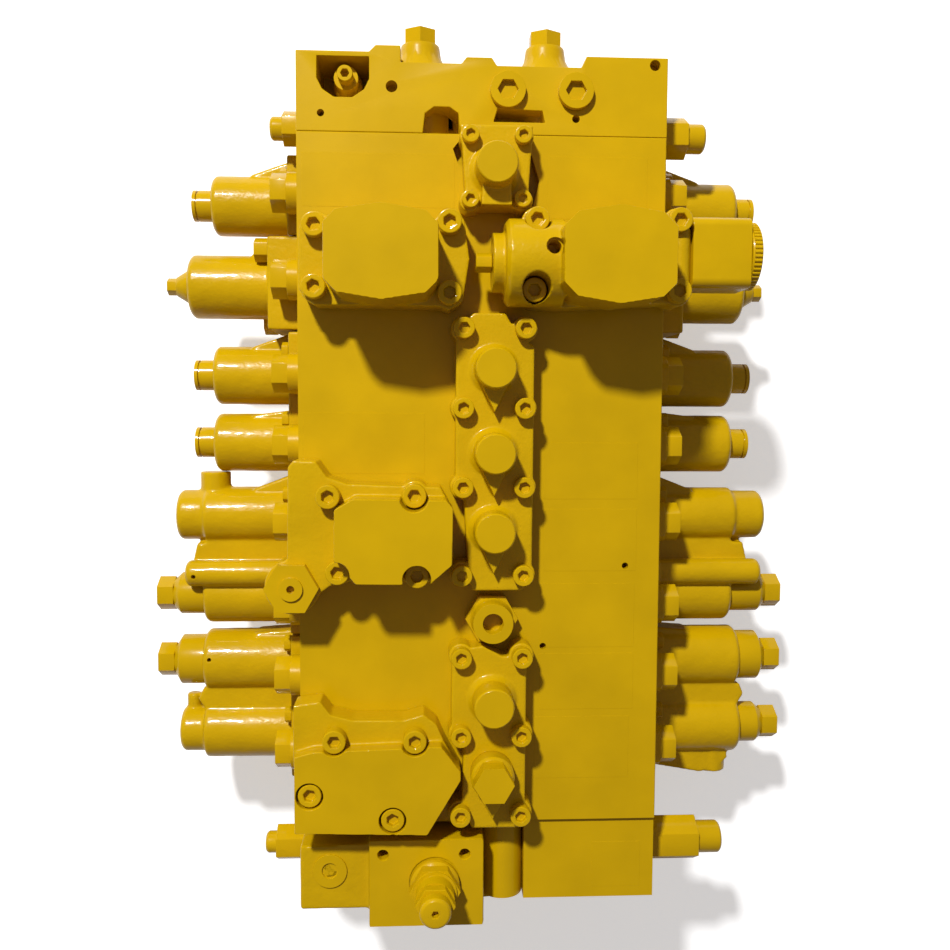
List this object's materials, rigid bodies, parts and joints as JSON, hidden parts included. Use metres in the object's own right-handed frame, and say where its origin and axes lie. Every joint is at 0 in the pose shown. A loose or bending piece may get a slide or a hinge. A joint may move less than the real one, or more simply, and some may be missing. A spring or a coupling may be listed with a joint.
{
  "type": "main control valve",
  "caption": "Hydraulic main control valve for an excavator: one long cast body with spool rows, caps at both sides, check covers, front valve blocks, inlet manifold and relief valve.",
  "frame": {"origin": "centre of the four foot screw holes, in the plane of the feet", "axes": "+X to the right seen from the front face, +Y along the valve towards the inlet manifold, +Z out of the front face"},
  "size_m": [0.5605, 0.714, 0.28],
  "materials": {
    "painted_casting": "glossy yellow paint over rough cast iron",
    "painted_fittings": "glossy yellow paint over machined steel",
    "ground_steel": "ground and hardened",
    "spring_steel": "oiled spring wire"
  },
  "bodies": {
    "valve_body": {"cap_end_plugs": "painted_fittings", "cap_screws": "painted_fittings", "check_cover_double": "painted_casting", "check_cover_single": "painted_casting", "check_cover_triple": "painted_casting", "corner_plugs": "painted_fittings", "end_block": "painted_casting", "front_screws": "painted_fittings", "hexagon_plugs": "painted_fittings", "inlet_manifold": "painted_casting", "left_cap_row_2": "painted_casting", "left_double_cap_lower": "painted_casting", "left_double_cap_upper": "painted_casting", "left_single_caps": "painted_casting", "lower_left_block": "painted_casting", "main_body": "painted_casting", "middle_left_block": "painted_casting", "port_relief_valves": "painted_fittings", "relief_block": "painted_casting", "relief_cartridge": "painted_fittings", "right_cap_row_2": "painted_casting", "right_double_cap_lower": "painted_casting", "right_double_cap_upper": "painted_casting", "right_single_caps": "painted_casting", "row_6_fitting": "painted_fittings", "socket_plugs": "painted_fittings", "solenoid_case": "painted_fittings", "upper_left_block": "painted_casting", "upper_right_block": "painted_casting"},
    "spool_1": {"spool_1": "ground_steel", "spool_spring_1": "spring_steel"},
    "spool_2": {"spool_2": "ground_steel", "spool_spring_2": "spring_steel"},
    "spool_3": {"spool_3": "ground_steel", "spool_spring_3": "spring_steel"},
    "spool_4": {"spool_4": "ground_steel", "spool_spring_4": "spring_steel"},
    "spool_5": {"spool_5": "ground_steel", "spool_spring_5": "spring_steel"},
    "spool_6": {"spool_6": "ground_steel", "spool_spring_6": "spring_steel"},
    "spool_7": {"spool_7": "ground_steel", "spool_spring_7": "spring_steel"},
    "spool_8": {"spool_8": "ground_steel", "spool_spring_8": "spring_steel"},
    "check_poppet_1": {"check_poppet_1": "ground_steel", "check_spring_1": "spring_steel"},
    "check_poppet_3": {"check_poppet_3": "ground_steel", "check_spring_3": "spring_steel"},
    "check_poppet_4": {"check_poppet_4": "ground_steel", "check_spring_4": "spring_steel"},
    "check_poppet_5": {"check_poppet_5": "ground_steel", "check_spring_5": "spring_steel"},
    "check_poppet_7": {"check_poppet_7": "ground_steel", "check_spring_7": "spring_steel"},
    "check_poppet_8": {"check_poppet_8": "ground_steel", "check_spring_8": "spring_steel"},
    "relief_lock_nut": {"relief_lock_nut": "painted_fittings"},
    "relief_adjuster": {"relief_adjuster": "painted_fittings"},
    "solenoid_nut": {"solenoid_nut": "painted_fittings"}
  },
  "joints": [
    {"name": "spool_1_slide", "type": "slide", "parent": "valve_body", "child": "spool_1", "axis": [1, 0, 0], "range_m": [-0.009, 0.009], "stiffness_N_per_m": 20000, "deforming": ["spool_spring_1"]},
    {"name": "spool_2_slide", "type": "slide", "parent": "valve_body", "child": "spool_2", "axis": [1, 0, 0], "range_m": [-0.009, 0.009], "stiffness_N_per_m": 20000, "deforming": ["spool_spring_2"]},
    {"name": "spool_3_slide", "type": "slide", "parent": "valve_body", "child": "spool_3", "axis": [1, 0, 0], "range_m": [-0.009, 0.009], "stiffness_N_per_m": 20000, "deforming": ["spool_spring_3"]},
    {"name": "spool_4_slide", "type": "slide", "parent": "valve_body", "child": "spool_4", "axis": [1, 0, 0], "range_m": [-0.009, 0.009], "stiffness_N_per_m": 20000, "deforming": ["spool_spring_4"]},
    {"name": "spool_5_slide", "type": "slide", "parent": "valve_body", "child": "spool_5", "axis": [1, 0, 0], "range_m": [-0.009, 0.009], "stiffness_N_per_m": 20000, "deforming": ["spool_spring_5"]},
    {"name": "spool_6_slide", "type": "slide", "parent": "valve_body", "child": "spool_6", "axis": [1, 0, 0], "range_m": [-0.009, 0.009], "stiffness_N_per_m": 20000, "deforming": ["spool_spring_6"]},
    {"name": "spool_7_slide", "type": "slide", "parent": "valve_body", "child": "spool_7", "axis": [1, 0, 0], "range_m": [-0.009, 0.009], "stiffness_N_per_m": 20000, "deforming": ["spool_spring_7"]},
    {"name": "spool_8_slide", "type": "slide", "parent": "valve_body", "child": "spool_8", "axis": [1, 0, 0], "range_m": [-0.009, 0.009], "stiffness_N_per_m": 20000, "deforming": ["spool_spring_8"]},
    {"name": "check_1_lift", "type": "slide", "parent": "valve_body", "child": "check_poppet_1", "axis": [0, 0, 1], "range_m": [0, 0.006], "stiffness_N_per_m": 1500, "springref_m": -0.006, "deforming": ["check_spring_1"]},
    {"name": "check_3_lift", "type": "slide", "parent": "valve_body", "child": "check_poppet_3", "axis": [0, 0, 1], "range_m": [0, 0.006], "stiffness_N_per_m": 1500, "springref_m": -0.006, "deforming": ["check_spring_3"]},
    {"name": "check_4_lift", "type": "slide", "parent": "valve_body", "child": "check_poppet_4", "axis": [0, 0, 1], "range_m": [0, 0.006], "stiffness_N_per_m": 1500, "springref_m": -0.006, "deforming": ["check_spring_4"]},
    {"name": "check_5_lift", "type": "slide", "parent": "valve_body", "child": "check_poppet_5", "axis": [0, 0, 1], "range_m": [0, 0.006], "stiffness_N_per_m": 1500, "springref_m": -0.006, "deforming": ["check_spring_5"]},
    {"name": "check_7_lift", "type": "slide", "parent": "valve_body", "child": "check_poppet_7", "axis": [0, 0, 1], "range_m": [0, 0.006], "stiffness_N_per_m": 1500, "springref_m": -0.006, "deforming": ["check_spring_7"]},
    {"name": "check_8_lift", "type": "slide", "parent": "valve_body", "child": "check_poppet_8", "axis": [0, 0, 1], "range_m": [0, 0.006], "stiffness_N_per_m": 1500, "springref_m": -0.006, "deforming": ["check_spring_8"]},
    {"name": "relief_lock_nut_turn", "type": "hinge", "parent": "valve_body", "child": "relief_lock_nut", "pos_m": [-0.0365, -0.316, 0.254], "axis": [0, 0, 1], "range_deg": [-180, 180]},
    {"name": "relief_adjuster_turn", "type": "hinge", "parent": "valve_body", "child": "relief_adjuster", "pos_m": [-0.0365, -0.316, 0.262], "axis": [0, 0, 1], "range_deg": [-360, 360]},
    {"name": "solenoid_nut_turn", "type": "hinge", "parent": "valve_body", "child": "solenoid_nut", "pos_m": [0.2062, 0.1787, 0.2125], "axis": [1, 0, 0], "range_deg": [-360, 360]}
  ]
}
